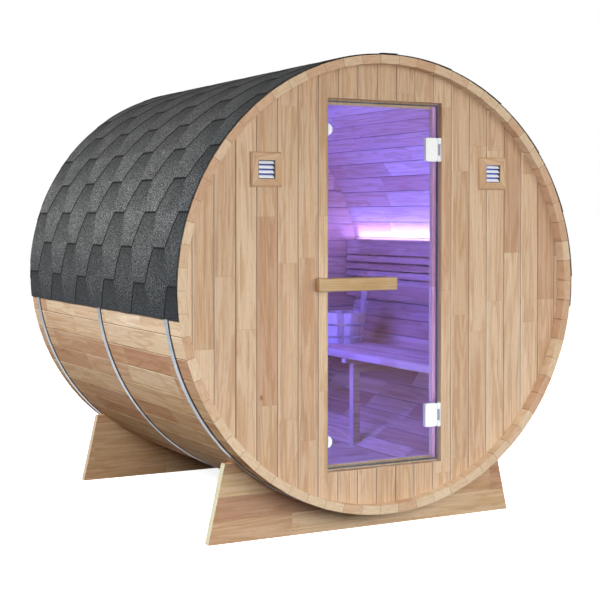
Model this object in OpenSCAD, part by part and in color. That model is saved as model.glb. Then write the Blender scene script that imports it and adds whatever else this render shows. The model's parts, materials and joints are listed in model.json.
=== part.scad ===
// Barrel sauna: a round timber room on two cradles, with a glass door in its front wall.
// Millimetres, +Z up. The origin is on the ground under the middle of the barrel,
// the barrel lies along Y, and the door faces -Y.

/* [Barrel] */
// Diameter of the barrel over the stave faces
barrel_d = 1800; // [1500:10:2200]
// Length of the barrel
barrel_l = 1800; // [1600:10:2400]
// Thickness of a stave
stave_t = 34; // [28:1:40]
// Staves in each sixth of the barrel
staves_per_sixth = 11; // [9:1:13]
// Chamfer along the stave edges
stave_chamfer = 2.5; // [1:0.5:4]
// Gap between neighbouring boards
board_gap = 0.4; // [0.2:0.1:1]

/* [End walls] */
// Thickness of the end wall boards
wall_t = 34; // [28:1:40]
// Depth of the wall's outer face behind the stave ends
wall_recess = 46; // [30:1:70]
// Depth of the croze, the groove in the staves that holds the wall
croze_d = 8; // [5:1:12]
// Width of a wall board, joint to joint
board_pitch = 88; // [70:1:120]
// Distance of the first board joint from the barrel's middle
joint_x = -30; // [-44:1:44]
// Chamfer along the wall board edges
board_chamfer = 4; // [1:0.5:5]

/* [Doorway] */
// Width of the doorway
door_w = 528; // [480:1:600]
// Height of the front wall above the doorway, at the barrel's middle
head_h = 139; // [130:1:240]
// Distance of the doorway's middle from the barrel's middle
door_x = 10; // [-20:1:20]
// Height of the doorway's sill above the barrel's inner bottom
sill_h = 142; // [130:1:170]
// Width that the stops show at the hinge side, the head and the sill
stop_lap = 23; // [18:1:26]
// Width that the stop shows at the door's free side
stop_latch = 17; // [12:1:19]
// Width that the stops cover of the wall
stop_cover = 30; // [25:1:40]
// Thickness of the stops
stop_t = 22; // [16:1:28]

/* [Door] */
// Thickness of the glass
glass_t = 8; // [6:1:10]
// Gap round the glass
glass_gap = 9; // [7:0.5:12]
// Depth of the glass behind the wall's outer face
glass_recess = 15; // [12:1:18]
// Length of the inside handle bar
handle_in_l = 254; // [200:1:380]
// Length of the outside handle bar that reaches past the doorway's side
handle_over = 55; // [35:1:70]
// Gap between the stop and the inside handle bar's left end
handle_side = 26; // [20:1:40]
// Distance of the handle bolts from the inside handle bar's ends
bolt_inset = 40; // [30:1:60]
// Width of the eased edges of the handle bars
handle_ease = 3; // [1:0.5:6]
// Height of both handle bars
handle_h = 50; // [40:1:60]
// Thickness of both handle bars
handle_t = 27; // [22:1:32]
// Height of the handles' middle above the sill
handle_z = 729; // [650:1:800]
// Gap between the outside handle and the wall's face
handle_clear = 6; // [5:0.5:10]
// Gap between the glass and the inside handle
handle_in_gap = 19; // [14:1:24]
// Radius of the handle bolts
bolt_r = 3; // [2.5:0.5:4]
// Radius of the spacers on the handle bolts
spacer_r = 9; // [7:0.5:12]

/* [Hinges and catches] */
// Height of a hinge
hinge_h = 95; // [80:1:110]
// Width of the clamp plates on the glass
clamp_w = 56; // [44:1:60]
// Thickness of the clamp plates
clamp_t = 6; // [4:0.5:6]
// Corner radius of the clamp plates
clamp_r = 7; // [4:0.5:10]
// Height of the lower hinge's middle above the sill
hinge_low = 190; // [150:1:250]
// Depth of the upper hinge's middle below the lintel
hinge_high = 188; // [150:1:250]
// Radius of the hinge knuckles
knuckle_r = 5; // [4.5:0.25:5.5]
// Gap between a clamp plate and the knuckles
knuckle_side = 1; // [0.5:0.25:2]
// Depth of a knuckle's arm inside the knuckle's faces
arm_in = 1; // [0.5:0.25:2]
// Radius of the hinge pin
pin_r = 2.5; // [2:0.25:3]
// Thickness of the leaf on the doorway's side
leaf_t = 3; // [2:0.5:3]
// Distance of the leaf from both faces of the wall
leaf_in = 3; // [2:0.5:5]
// Radius of the catches
catch_r = 24; // [20:1:30]
// Distance of a catch's middle past the glass's free edge
catch_off = 6; // [0:1:10]
// Thickness of a catch plate
catch_t = 4; // [3:0.5:6]
// Height of the lower catch above the sill
catch_low = 117; // [90:1:140]
// Depth of the upper catch below the lintel
catch_high = 121; // [90:1:140]

/* [Vents] */
// Outer width of a vent frame
vent_w = 132; // [120:1:150]
// Width of the vent hole
vent_hole = 71; // [60:1:80]
// Thickness of a vent frame
vent_t = 12; // [8:1:16]
// Bevel round a vent frame
vent_bevel = 7; // [4:0.5:9]
// Distance of a vent's middle from the staves
vent_off = 180; // [150:1:220]
// Angle of the vents above the barrel's axis
vent_deg = 40.5; // [36:0.1:46]
// Depth of the louvre's sleeve
louvre_d = 23; // [16:1:30]
// Depth of the louvre behind the vent frame's face
louvre_set = 2; // [1:0.5:4]
// Wall of the louvre's sleeve
sleeve_t = 3; // [2:0.5:4]
// Thickness of a louvre blade
blade_t = 2.5; // [1.5:0.5:4]
// Blades in a louvre
louvre_blades = 4; // [3:1:6]

/* [Bands and roof] */
// Width of a steel band
band_w = 33; // [20:1:40]
// Thickness of a steel band
band_t = 1.2; // [0.8:0.1:2]
// Distance of the front band from the front end
band_front = 127; // [100:1:150]
// Distance of the middle band from the barrel's middle
band_middle = -37; // [-60:1:60]
// Distance of the rear band from the rear end
band_rear = 94; // [70:1:120]
// Thickness of the shingle roof
roof_t = 5.5; // [4:0.5:12]
// Angle by which the roof runs on below the barrel's axis
roof_drop = 7; // [0:0.5:20]

/* [Cradles] */
// Height of a cradle under the lowest stave
cradle_low = 86; // [60:1:120]
// Thickness of a cradle board
cradle_t = 33; // [28:1:45]
// Half width of a cradle at the ground
cradle_foot = 702; // [660:1:760]
// Half width of a cradle at its top
cradle_top = 632; // [610:1:650]
// Width of the level land at each tip of a cradle
cradle_land = 40; // [25:1:60]
// Distance of the front cradle's outer face from the front end
cradle_front = 176; // [155:1:220]
// Distance of the rear cradle's outer face from the rear end
cradle_rear = 148; // [125:1:180]

/* [Floor] */
// Height of the floor above the barrel's inner bottom
floor_h = 76; // [60:1:100]
// Gap between the floor's sides and the staves
floor_side = 10; // [5:1:40]
// Gap between the floor's ends and the walls
floor_clear = 6; // [4:1:12]
// Thickness of a floor board
floor_t = 22; // [18:1:28]
// Width of a floor board
floor_board = 60; // [45:1:90]
// Gap between floor boards
floor_gap = 6; // [4:1:12]
// Width of a floor bearer
bearer_w = 40; // [30:1:60]
// Distance of each floor bearer from the barrel's middle
bearer_x = 150; // [100:1:200]

/* [Bench] */
// Height of the seat above the floor
seat_h = 440; // [400:1:460]
// Slats in the seat
seat_slats = 4; // [3:1:4]
// Width of a seat slat
seat_slat = 77; // [60:1:80]
// Gap between seat slats
seat_gap = 8; // [5:1:12]
// Thickness of a seat slat
seat_t = 36; // [28:1:40]
// Width of the eased edges of a seat slat
seat_ease = 4; // [1:0.5:8]
// Gap between the seat's ends and the end walls
seat_end = 5; // [3:1:10]
// Height of the seat's middle bearer
rail_h = 66; // [50:1:80]
// Height of the bearer's nose over the leg
nose_h = 20; // [15:1:30]
// Width of the bearer, the leg and the end cleats
rail_w = 35; // [28:1:45]
// Gap between the floor's side and the leg
leg_gap = 5; // [3:1:10]
// Distance of the leg behind the seat's front edge
leg_back = 42; // [41:1:60]
// Distance of the end cleats behind the seat's front edge
cleat_in = 10; // [5:1:30]

/* [Backrest] */
// Distance of the backrest's face from the staves
rest_off = 86; // [75:1:110]
// Height of the backrest's top above the barrel's axis
rest_h = 153; // [130:1:180]
// Heights of the backrest's slats from the top down
rest_slats = [77, 32, 31, 31, 100]; // [20:1:110]
// Gap between backrest slats
rest_gap = 7; // [5:0.5:10]
// Thickness of a backrest slat
rest_t = 20; // [16:1:26]
// Width of the eased edges of a backrest slat
rest_ease = 2; // [1:0.5:6]
// Gap between the backrest's ends and the end walls
rest_side = 30; // [20:1:60]
// Distance between the backrest's battens
batten_pitch = 310; // [250:1:330]
// Width of a batten
batten_w = 30; // [20:1:45]
// Width of the light strip
strip_w = 18; // [12:1:24]
// Height of the light strip
strip_h = 8; // [5:1:10]
// Depth of the light strip's top below the backrest's top
strip_drop = 3; // [1:0.5:8]
// Distance of the light strip behind the slats
strip_off = 6; // [3:1:12]
// Distance of the light strip's ends from the backrest's ends
strip_in = 15; // [5:1:40]

/* [Bucket] */
// Radius of the bucket at its base
bucket_r = 95; // [80:1:110]
// Radius that the bucket gains to its rim
bucket_flare = 20; // [8:1:28]
// Height of the bucket's rim
bucket_h = 150; // [120:1:180]
// Distance of the bucket's middle behind the seat's front edge
bucket_in = 212; // [180:1:240]
// Distance of the bucket from the barrel's middle, towards the rear
bucket_y = 375; // [-500:1:500]
// Height of the bucket's bottom board above the seat
bucket_foot = 10; // [5:1:20]
// Thickness of the bucket's staves
bucket_t = 12; // [9:1:16]
// Height of the ears above the rim
ear_h = 100; // [70:1:120]
// Width of an ear, as an angle
ear_deg = 36; // [24:1:48]
// Heights of the hoops' middles above the seat
hoop_at = [32, 92]; // [15:1:110]
// Width of a hoop
hoop_w = 9; // [6:1:14]
// Thickness of a hoop
hoop_t = 1.2; // [0.8:0.1:2]

/* [Hidden] */
$fn = 96;
fit = 0.2;
barrel_r = barrel_d / 2;
stave_in = barrel_r - stave_t;
stave_step = 60 / staves_per_sixth;
stave_corner = barrel_r / cos(stave_step / 2);
axis_z = cradle_low + barrel_r;
front_y = -barrel_l / 2;
rear_y = barrel_l / 2;
wall_out = front_y + wall_recess;
wall_in = wall_out + wall_t;
wall_r = stave_in + croze_d - 2 * fit;
room_bottom = axis_z - stave_in;
room_r = stave_in - fit;
sill_z = room_bottom + sill_h;
lintel_z = axis_z + stave_in - head_h;
door_left = door_x - door_w / 2;
door_right = door_x + door_w / 2;
glass_out = wall_out + glass_recess;
glass_in = glass_out + glass_t;
glass_left = door_left + glass_gap;
glass_right = door_right - glass_gap;
pivot_x = glass_right;
pivot_y = glass_out - clamp_t;
pin_fit = 0.05;
knuckle_gap = 0.5;
handle_mid = sill_z + handle_z;
handle_left = door_left + stop_latch + handle_side;
handle_right = handle_left + handle_in_l;
handle_out_x = door_left - handle_over;
handle_back = wall_out - handle_clear;
handle_front = glass_in + handle_in_gap;
vent_x = (stave_in - vent_off) * cos(vent_deg);
vent_z = axis_z + (stave_in - vent_off) * sin(vent_deg);
band_in = stave_corner + fit;
roof_in = band_in + band_t + fit;
cradle_r = stave_corner + fit;
tip_x = cradle_top - cradle_land;
tip_z = axis_z - sqrt(pow(cradle_r, 2) - pow(tip_x, 2));
floor_z = room_bottom + floor_h;
floor_half = sqrt(pow(stave_in, 2) - pow(axis_z - floor_z, 2)) - floor_side;
floor_start = wall_in + stop_t + floor_clear;
floor_end = -wall_in - floor_clear;
seat_z = floor_z + seat_h;
seat_under = seat_z - seat_t;
leg_x = floor_half + leg_gap;
seat_x = leg_x - leg_back;
seat_back = seat_x + seat_slats * seat_slat + (seat_slats - 1) * seat_gap;
rest_x = stave_in - rest_off;
rest_top = axis_z + rest_h;
rest_end = -wall_in - rest_side;
batten_x = rest_x + rest_t + fit;
batten_top = rest_top - strip_h - strip_drop;
bucket_x = seat_x + bucket_in;
bucket_z = seat_z + fit;

wood = "#cda982";
wood_dark = "#b98f66";
wood_pale = "#dcc09a";
steel = "#b9c3c9";
white = "#f1f1ee";

// Outline of a board with chamfers c0 along its low side and c1 along its high side
function plank(x0, x1, y0, y1, c0, c1) = concat(
    c0 > 0 ? [[x0, y1 - c0], [x0, y0 + c0], [x0 + c0, y0]] : [[x0, y1], [x0, y0]],
    c1 > 0 ? [[x1 - c1, y0], [x1, y0 + c1], [x1, y1 - c1], [x1 - c1, y1]] : [[x1, y0], [x1, y1]],
    c0 > 0 ? [[x0 + c0, y1]] : []
);

// Draws an outline given in X and Z, from y0 to y1
module along_y(y0, y1) {
    translate([0, y1, 0]) rotate([90, 0, 0]) linear_extrude(y1 - y0) children();
}

// Draws an outline given in Z and Y, from x0 to x1
module along_x(x0, x1) {
    translate([x1, 0, 0]) rotate([0, -90, 0]) linear_extrude(x1 - x0) children();
}

// A round slab on the barrel's axis
module disc(r, y0, y1) {
    translate([0, 0, axis_z]) along_y(y0, y1) circle(r);
}

// A curved sheet round the barrel's axis, from angle a0 to a1
module sheet(r0, r1, y0, y1, a0, a1) {
    translate([0, 0, axis_z]) rotate([90, 0, 0]) rotate([0, 0, a0])
        rotate_extrude(angle = a1 - a0) translate([r0, -y1]) square([r1 - r0, y1 - y0]);
}

// A box given by its low and high corners
module block(lo, hi) {
    translate(lo) cube(hi - lo);
}

// A rectangle with round corners
module rounded(w, h, r) {
    square([w - 2 * r, h], center = true);
    square([w, h - 2 * r], center = true);
    for (x = [-1, 1], y = [-1, 1])
        translate([x * (w / 2 - r), y * (h / 2 - r)]) circle(r);
}

// One stave, lying along Y with its outer face towards +X
module stave() {
    half = stave_step / 2;
    function side(r) = r * tan(half) - board_gap / 2;
    low = [
        [stave_in, -side(stave_in) + stave_chamfer],
        [stave_in + stave_chamfer, -side(stave_in + stave_chamfer)],
        [barrel_r - stave_chamfer, -side(barrel_r - stave_chamfer)],
        [barrel_r, -side(barrel_r) + stave_chamfer]
    ];
    high = [for (i = [3:-1:0]) [low[i].x, -low[i].y]];
    difference() {
        along_y(front_y, rear_y) polygon(concat(low, high));
        for (y = [wall_out, -wall_in])
            block([stave_in - 1, y - fit, -barrel_r / 4],
                [stave_in + croze_d, y + wall_t + fit, barrel_r / 4]);
    }
}

// A sixth of the barrel, with its middle stave at the given angle
module stave_group(middle) {
    last = (staves_per_sixth - 1) / 2;
    color(wood) translate([0, 0, axis_z])
        for (k = [-last:last]) rotate([0, -(middle + k * stave_step), 0]) stave();
}

module staves_bottom() stave_group(-90);
module staves_lower_right() stave_group(-30);
module staves_upper_right() stave_group(30);
module staves_top() stave_group(90);
module staves_upper_left() stave_group(150);
module staves_lower_left() stave_group(210);

// Upright boards of the front wall between the given sides and heights
module front_boards(x_lo, x_hi, z_lo, z_hi) {
    first = floor((x_lo - joint_x) / board_pitch);
    last = ceil((x_hi - joint_x) / board_pitch) - 1;
    for (k = [first:last]) {
        joint = joint_x + k * board_pitch;
        cut_low = joint < x_lo;
        cut_high = joint + board_pitch > x_hi;
        x0 = cut_low ? x_lo : joint + board_gap / 2;
        x1 = cut_high ? x_hi : joint + board_pitch - board_gap / 2;
        intersection() {
            translate([0, 0, z_lo]) linear_extrude(z_hi - z_lo)
                polygon(plank(x0, x1, wall_out, wall_in,
                    cut_low ? 0 : board_chamfer, cut_high ? 0 : board_chamfer));
            disc(wall_r, wall_out - 1, wall_in + 1);
        }
    }
}

// The hole behind a vent frame
module vent_cut(x) {
    block([x - vent_hole / 2, wall_out - 1, vent_z - vent_hole / 2],
        [x + vent_hole / 2, wall_in + 1, vent_z + vent_hole / 2]);
}

module front_wall_left() {
    color(wood) difference() {
        front_boards(-wall_r, door_left, axis_z - wall_r, axis_z + wall_r);
        vent_cut(-vent_x);
    }
}

module front_wall_right() {
    color(wood) difference() {
        front_boards(door_right, wall_r, axis_z - wall_r, axis_z + wall_r);
        vent_cut(vent_x);
    }
}

module front_wall_above() {
    color(wood) front_boards(door_left, door_right, lintel_z, axis_z + wall_r);
}

module front_wall_below() {
    color(wood) front_boards(door_left, door_right, axis_z - wall_r, sill_z);
}

// Level boards from the bottom of the circle to its top
module rear_wall() {
    first = floor((-wall_r - joint_x) / board_pitch);
    last = ceil((wall_r - joint_x) / board_pitch) - 1;
    color(wood) for (k = [first:last]) {
        joint = axis_z + joint_x + k * board_pitch;
        intersection() {
            along_x(-barrel_r, barrel_r)
                polygon(plank(joint + board_gap / 2, joint + board_pitch - board_gap / 2,
                    -wall_in, -wall_out, board_chamfer, board_chamfer));
            disc(wall_r, -wall_in - 1, -wall_out + 1);
        }
    }
}

// Four boards behind the doorway's edges, which the glass closes against
module door_stops() {
    y0 = wall_in + fit;
    y1 = wall_in + stop_t;
    left_in = door_left + stop_latch;
    right_in = door_right - stop_lap;
    color(wood_dark) {
        block([door_left - stop_cover, y0, sill_z - stop_cover], [left_in, y1, lintel_z + stop_cover]);
        block([right_in, y0, sill_z - stop_cover], [door_right + stop_cover, y1, lintel_z + stop_cover]);
        block([left_in + board_gap, y0, sill_z - stop_cover], [right_in - board_gap, y1, sill_z + stop_lap]);
        block([left_in + board_gap, y0, lintel_z - stop_lap],
            [right_in - board_gap, y1, lintel_z + stop_cover]);
    }
}

// Places a child at each handle bolt, with its Z along -Y
module at_bolts() {
    for (x = [handle_left + bolt_inset, handle_right - bolt_inset])
        translate([x, 0, handle_mid]) rotate([90, 0, 0]) children();
}

module door_glass() {
    color("#dfe6ea", 0.35) difference() {
        block([glass_left, glass_out, sill_z + glass_gap], [glass_right, glass_in, lintel_z - glass_gap]);
        at_bolts() translate([0, 0, -glass_in - 1]) cylinder(r = bolt_r + fit, h = glass_t + 2);
    }
}

// A level handle bar with eased edges, from x0 to the handles' common right end
module handle_bar(x0, y0) {
    low = handle_mid - handle_h / 2;
    color(wood_pale) along_x(x0, handle_right)
        polygon(plank(low, low + handle_h, y0, y0 + handle_t, handle_ease, handle_ease));
}

module outside_handle() handle_bar(handle_out_x, handle_back - handle_t);
module inside_handle() handle_bar(handle_left, handle_front);

// Bolts through the glass, with a spacer on each side of it
module handle_bolts() {
    color(steel) at_bolts() {
        translate([0, 0, -handle_front + fit]) cylinder(r = bolt_r, h = handle_front - handle_back - 2 * fit);
        translate([0, 0, -handle_front + fit]) cylinder(r = spacer_r, h = handle_in_gap - 2 * fit);
        translate([0, 0, -glass_out + fit]) cylinder(r = spacer_r, h = glass_out - handle_back - 2 * fit);
    }
}

// Upright cylinder on the hinge's axis between two heights
module on_pivot(r, z0, z1) {
    translate([pivot_x, pivot_y, z0]) cylinder(r = r, h = z1 - z0);
}

// The door's half of a hinge: a plate on each face of the glass and the middle knuckle
module hinge_clamp(z) {
    knuckle_half = hinge_h / 4 - knuckle_gap;
    plate_right = pivot_x - knuckle_r - knuckle_side;
    plate_mid = plate_right - clamp_w / 2;
    color(white) {
        difference() {
            union() {
                translate([plate_mid, 0, z]) along_y(glass_out - clamp_t, glass_out - fit)
                    rounded(clamp_w, hinge_h, clamp_r);
                block([plate_mid, glass_out - clamp_t, z - knuckle_half],
                    [pivot_x, glass_out - fit, z + knuckle_half]);
                on_pivot(knuckle_r, z - knuckle_half, z + knuckle_half);
            }
            on_pivot(pin_r + pin_fit, z - hinge_h, z + hinge_h);
        }
        translate([plate_mid, 0, z]) along_y(glass_in + fit, glass_in + clamp_t)
            rounded(clamp_w, hinge_h, clamp_r);
    }
}

// The wall's half of a hinge: a leaf on the doorway's side, two knuckles and the pin
module hinge_leaf(z) {
    arm_t = 2 * (knuckle_r - arm_in);
    color(white) {
        block([door_right - leaf_t, wall_out + leaf_in, z - hinge_h / 2],
            [door_right - fit, wall_in - leaf_in, z + hinge_h / 2]);
        for (s = [-1, 1]) {
            z0 = s < 0 ? z - hinge_h / 2 : z + hinge_h / 4;
            on_pivot(knuckle_r, z0, z0 + hinge_h / 4);
            block([pivot_x, pivot_y - arm_t / 2, z0],
                [door_right - leaf_t / 2, pivot_y + arm_t / 2, z0 + hinge_h / 4]);
        }
        on_pivot(pin_r, z - hinge_h / 2, z + hinge_h / 2);
    }
}

module hinge_clamp_upper() hinge_clamp(lintel_z - hinge_high);
module hinge_clamp_lower() hinge_clamp(sill_z + hinge_low);
module hinge_leaf_upper() hinge_leaf(lintel_z - hinge_high);
module hinge_leaf_lower() hinge_leaf(sill_z + hinge_low);

// Round plates on both faces of the glass, cut off at its free edge
module door_catch(z) {
    color(white) for (y = [glass_out - catch_t, glass_in + fit])
        translate([glass_left, 0, z]) along_y(y, y + catch_t - fit) intersection() {
            translate([-catch_off, 0]) circle(catch_r);
            translate([0, -catch_r]) square([catch_r, 2 * catch_r]);
        }
}

module door_catch_upper() door_catch(lintel_z - catch_high);
module door_catch_lower() door_catch(sill_z + catch_low);

// A square frame with a bevel round its outer edge
module vent_frame(x) {
    color(wood_pale) translate([x, wall_out - fit, vent_z]) rotate([90, 0, 0]) difference() {
        hull() {
            linear_extrude(vent_t - vent_bevel) square(vent_w, center = true);
            linear_extrude(vent_t) square(vent_w - 2 * vent_bevel, center = true);
        }
        translate([0, 0, -1]) linear_extrude(vent_t + 2) square(vent_hole, center = true);
    }
}

// A square sleeve in the vent hole, with slanted blades across it
module vent_louvre(x) {
    inner = vent_hole - 2 * sleeve_t;
    step = inner / louvre_blades;
    color(white) translate([x, wall_out - vent_t + louvre_set, vent_z]) {
        translate([0, louvre_d, 0]) rotate([90, 0, 0]) linear_extrude(louvre_d) difference() {
            square(vent_hole - 2 * fit, center = true);
            square(inner, center = true);
        }
        for (i = [0:louvre_blades - 1])
            translate([0, louvre_d / 2, (i + 0.5) * step - inner / 2]) rotate([45, 0, 0])
                cube([inner + sleeve_t, blade_t, step], center = true);
    }
}

module vent_frame_left() vent_frame(-vent_x);
module vent_frame_right() vent_frame(vent_x);
module vent_louvre_left() vent_louvre(-vent_x);
module vent_louvre_right() vent_louvre(vent_x);

// A steel band round the staves
module band(y) {
    color(steel) sheet(band_in, band_in + band_t, y - band_w / 2, y + band_w / 2, 0, 360);
}

module band_front() band(front_y + band_front);
module band_middle() band(band_middle);
module band_rear() band(rear_y - band_rear);

module roof_right() {
    color("#3d3f41") sheet(roof_in, roof_in + roof_t, front_y, rear_y, -roof_drop, 90 - fit / 10);
}

module roof_left() {
    color("#3d3f41") sheet(roof_in, roof_in + roof_t, front_y, rear_y, 90 + fit / 10, 180 + roof_drop);
}

// A board on edge with a round seat for the barrel
module cradle(y0) {
    color(wood_dark) along_y(y0, y0 + cradle_t) difference() {
        polygon([[-cradle_foot, 0], [cradle_foot, 0], [cradle_top, tip_z], [-cradle_top, tip_z]]);
        translate([0, axis_z]) circle(cradle_r);
    }
}

module cradle_front() cradle(front_y + cradle_front);
module cradle_rear() cradle(rear_y - cradle_rear - cradle_t);

// Cross boards whose ends follow the round wall
module floor_boards() {
    step = floor_board + floor_gap;
    count = floor((floor_end - floor_start + floor_gap) / step);
    start = (floor_start + floor_end - count * step + floor_gap) / 2;
    color(wood) for (k = [0:count - 1]) intersection() {
        block([-floor_half, start + k * step, floor_z - floor_t],
            [floor_half, start + k * step + floor_board, floor_z]);
        disc(room_r, floor_start - 1, floor_end + 1);
    }
}

module floor_bearers() {
    color(wood_dark) for (s = [-1, 1]) intersection() {
        block([s * bearer_x - bearer_w / 2, floor_start, room_bottom],
            [s * bearer_x + bearer_w / 2, floor_end, floor_z - floor_t - fit]);
        disc(room_r, floor_start - 1, floor_end + 1);
    }
}

module bench_seat() {
    color(wood) for (k = [0:seat_slats - 1]) {
        x0 = seat_x + k * (seat_slat + seat_gap);
        along_y(wall_in + seat_end, -wall_in - seat_end)
            polygon(plank(x0, x0 + seat_slat, seat_under, seat_z, seat_ease, seat_ease));
    }
}

// Middle bearer with a notch over the leg, the leg itself and a cleat on each end wall
module bench_support() {
    top = seat_under - fit;
    notch_x = leg_x + rail_w + fit;
    color(wood_dark) {
        intersection() {
            along_y(-rail_w / 2, rail_w / 2) polygon([
                [seat_x, top - nose_h], [notch_x, top - nose_h], [notch_x, top - rail_h],
                [barrel_r, top - rail_h], [barrel_r, top], [seat_x, top]
            ]);
            disc(room_r, -rail_w, rail_w);
        }
        intersection() {
            block([leg_x, -rail_w / 2, room_bottom], [leg_x + rail_w, rail_w / 2, top - nose_h - fit]);
            disc(room_r, -rail_w, rail_w);
        }
        for (y = [wall_in + fit, -wall_in - rail_w])
            block([seat_x + cleat_in, y, top - 2 * nose_h], [seat_back, y + rail_w - fit, top]);
    }
}

module backrest_slats() {
    color(wood) for (i = [0:len(rest_slats) - 1]) {
        above = [for (k = 0, s = 0; k <= i; s = s + rest_slats[k] + rest_gap, k = k + 1) s];
        z1 = rest_top - above[i];
        along_y(-rest_end, rest_end)
            polygon(plank(rest_x, rest_x + rest_t, z1 - rest_slats[i], z1, rest_ease, rest_ease));
    }
}

// Uprights between the slats and the round wall
module backrest_battens() {
    low = axis_z - (batten_top - axis_z);
    last = floor((rest_end - batten_w) / batten_pitch);
    color(wood_dark) for (k = [-last:last]) intersection() {
        y = k * batten_pitch;
        block([batten_x, y - batten_w / 2, low], [barrel_r, y + batten_w / 2, batten_top]);
        disc(room_r, y - batten_w, y + batten_w);
    }
}

// Light strip on the battens, behind the top slat
module light_strip() {
    color("#efe6ff") block([batten_x + strip_off, -rest_end + strip_in, batten_top + fit],
        [batten_x + strip_off + strip_w, rest_end - strip_in, batten_top + strip_h]);
}

// Tapered stave bucket with two ears
module bucket() {
    function out(z) = bucket_r + bucket_flare * z / bucket_h;
    color(wood_pale) translate([bucket_x, bucket_y, bucket_z]) {
        rotate_extrude() polygon([
            [0, bucket_foot], [0, bucket_foot + bucket_t],
            [out(bucket_foot) - bucket_t, bucket_foot + bucket_t],
            [out(bucket_h) - bucket_t, bucket_h], [out(bucket_h), bucket_h], [out(0), 0],
            [out(0) - bucket_t, 0], [out(bucket_foot) - bucket_t, bucket_foot]
        ]);
        for (a = [0, 180]) rotate([0, 0, a - ear_deg / 2]) rotate_extrude(angle = ear_deg) polygon([
            [out(bucket_h) - bucket_t, bucket_h - 1], [out(bucket_h), bucket_h - 1],
            [out(bucket_h + ear_h), bucket_h + ear_h], [out(bucket_h + ear_h) - bucket_t, bucket_h + ear_h]
        ]);
    }
}

module bucket_hoops() {
    function out(z) = bucket_r + bucket_flare * z / bucket_h + fit;
    color(steel) translate([bucket_x, bucket_y, bucket_z]) for (middle = hoop_at) {
        z0 = middle - hoop_w / 2;
        z1 = z0 + hoop_w;
        rotate_extrude()
            polygon([[out(z0), z0], [out(z0) + hoop_t, z0], [out(z1) + hoop_t, z1], [out(z1), z1]]);
    }
}

staves_bottom();
staves_lower_right();
staves_upper_right();
staves_top();
staves_upper_left();
staves_lower_left();
front_wall_left();
front_wall_right();
front_wall_above();
front_wall_below();
rear_wall();
door_stops();
door_glass();
outside_handle();
inside_handle();
handle_bolts();
hinge_clamp_upper();
hinge_clamp_lower();
hinge_leaf_upper();
hinge_leaf_lower();
door_catch_upper();
door_catch_lower();
vent_frame_left();
vent_frame_right();
vent_louvre_left();
vent_louvre_right();
band_front();
band_middle();
band_rear();
roof_left();
roof_right();
cradle_front();
cradle_rear();
floor_boards();
floor_bearers();
bench_seat();
bench_support();
backrest_slats();
backrest_battens();
light_strip();
bucket();
bucket_hoops();
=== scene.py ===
import json
import math

import bmesh
import bpy
from mathutils import Matrix, Vector

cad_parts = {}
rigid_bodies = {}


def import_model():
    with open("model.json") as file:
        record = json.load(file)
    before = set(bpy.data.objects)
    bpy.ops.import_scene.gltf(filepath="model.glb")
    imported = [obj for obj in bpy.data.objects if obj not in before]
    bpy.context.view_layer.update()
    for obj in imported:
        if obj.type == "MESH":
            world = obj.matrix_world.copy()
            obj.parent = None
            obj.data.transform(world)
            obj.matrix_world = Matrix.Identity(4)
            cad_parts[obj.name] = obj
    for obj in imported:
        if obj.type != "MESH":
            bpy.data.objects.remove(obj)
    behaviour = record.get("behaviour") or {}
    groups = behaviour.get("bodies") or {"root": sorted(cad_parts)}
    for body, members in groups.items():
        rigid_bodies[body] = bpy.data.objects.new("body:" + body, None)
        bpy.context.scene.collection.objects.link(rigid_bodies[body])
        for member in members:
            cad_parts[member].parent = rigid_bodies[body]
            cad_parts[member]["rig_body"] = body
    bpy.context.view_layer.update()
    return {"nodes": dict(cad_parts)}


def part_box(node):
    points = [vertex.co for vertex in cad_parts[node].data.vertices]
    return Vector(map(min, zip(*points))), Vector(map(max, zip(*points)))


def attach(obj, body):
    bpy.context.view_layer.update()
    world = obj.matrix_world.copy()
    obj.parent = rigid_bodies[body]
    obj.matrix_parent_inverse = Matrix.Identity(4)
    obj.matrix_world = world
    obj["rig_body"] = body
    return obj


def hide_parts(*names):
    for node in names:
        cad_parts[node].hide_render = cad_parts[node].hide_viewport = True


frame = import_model()
scene = bpy.context.scene
mm = 0.001
print("frame loaded:", len(frame["nodes"]), "nodes")

# the barrel's own measures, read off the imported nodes
bandLow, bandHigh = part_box("band_middle")
roofLow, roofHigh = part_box("roof_left")
staveLow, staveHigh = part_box("staves_top")
axisZ = (bandLow.z + bandHigh.z) / 2
barrel = {
    "axisZ": axisZ,
    "frontY": staveLow.y,
    "rearY": staveHigh.y,
    "faceR": staveHigh.z - axisZ,
    "roofR": roofHigh.z - axisZ,
    "staveTurn": math.radians(60 / 11),  # eleven staves in each sixth
    "boardPitch": 88 * mm,
    "boardStart": -30 * mm,
}


def linear(hexColour):
    parts = [int(hexColour[i:i + 2], 16) / 255 for i in (1, 3, 5)]
    return [p / 12.92 if p <= 0.04045 else ((p + 0.055) / 1.055) ** 2.4 for p in parts] + [1]


# adds a node with its settings and links; a node given as a feed lends its first output
def addNode(tree, kind, feeds=(), stops=(), **settings):
    made = tree.nodes.new("ShaderNode" + kind)
    for name, value in settings.items():
        setattr(made, name, value)
    for place, value in dict(feeds).items():
        source = value.outputs[0] if isinstance(value, bpy.types.Node) else value
        if isinstance(source, bpy.types.NodeSocket):
            tree.links.new(source, made.inputs[place])
        else:
            made.inputs[place].default_value = source
    for index, (spot, hexColour) in enumerate(stops):
        ramp = made.color_ramp.elements
        stop = ramp[index] if index < len(ramp) else ramp.new(spot)
        stop.position = spot
        stop.color = linear(hexColour)
    return made


# spreads tones evenly over a ramp
def evenStops(tones):
    return [(index / (len(tones) - 1), tone) for index, tone in enumerate(tones)]


def newMaterial(name):
    material = bpy.data.materials.new(name)
    material.use_nodes = True
    return material, material.node_tree, material.node_tree.nodes["Principled BSDF"]


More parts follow.
